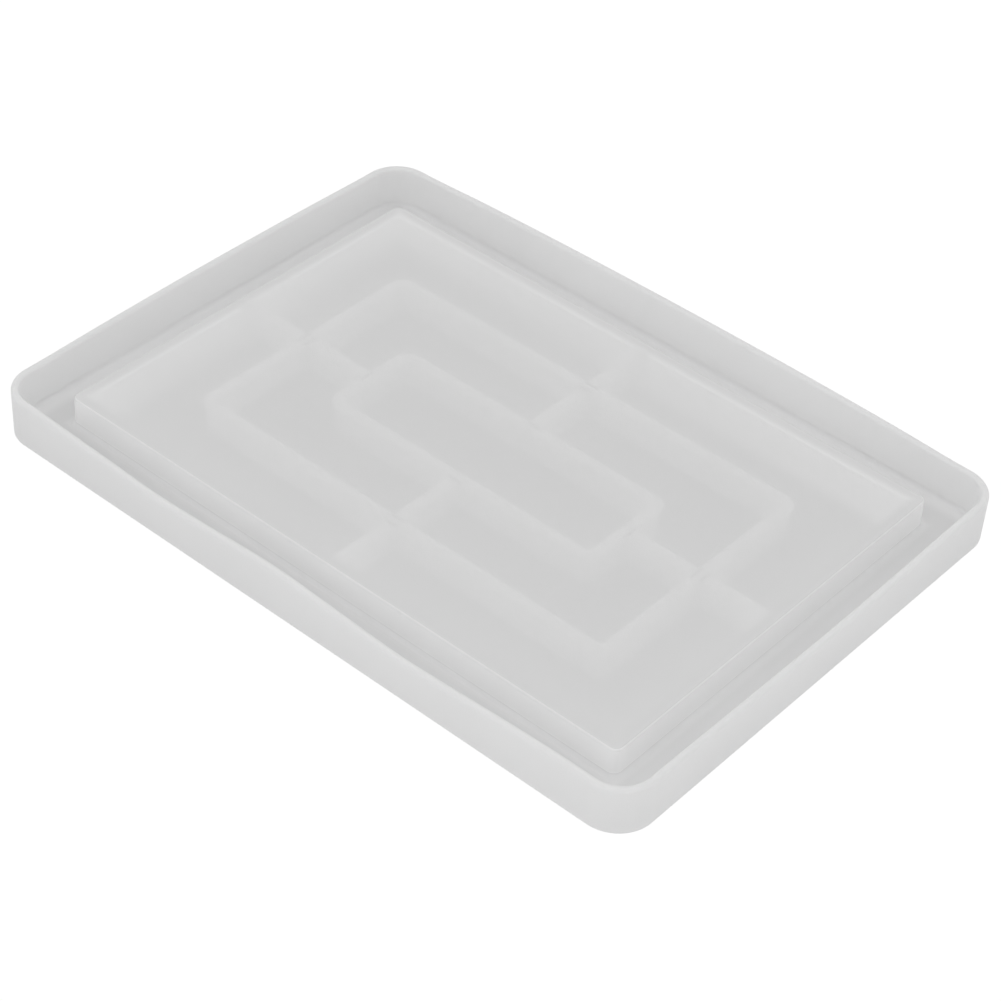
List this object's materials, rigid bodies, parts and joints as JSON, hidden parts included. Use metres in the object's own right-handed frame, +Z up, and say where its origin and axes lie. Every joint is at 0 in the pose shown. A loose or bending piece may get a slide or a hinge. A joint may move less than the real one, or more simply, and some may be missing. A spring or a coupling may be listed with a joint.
{
  "type": "silicone tray mould",
  "caption": "Shallow one-piece translucent silicone casting tray mould: low soft wall, level channel inside it, broad raised hollow core, support ribs underneath.",
  "frame": {"origin": "centre of the footprint, on the surface that the mould stands on", "axes": "+X along the long sides, +Y across towards the back, +Z up"},
  "size_m": [0.3, 0.216, 0.02],
  "materials": {
    "silicone": "satin, milky translucent"
  },
  "bodies": {
    "root": {"front_wall": "silicone", "back_wall": "silicone", "left_wall": "silicone", "right_wall": "silicone", "front_left_corner": "silicone", "front_right_corner": "silicone", "back_left_corner": "silicone", "back_right_corner": "silicone", "channel_floor": "silicone", "wall_foot_fillet": "silicone", "core_foot_fillet": "silicone", "core_side_wall": "silicone", "core_deck": "silicone", "middle_rib_ring": "silicone", "centre_rib_ring": "silicone", "front_cross_rib": "silicone", "back_cross_rib": "silicone", "left_cross_rib": "silicone", "right_cross_rib": "silicone"}
  },
  "joints": []
}
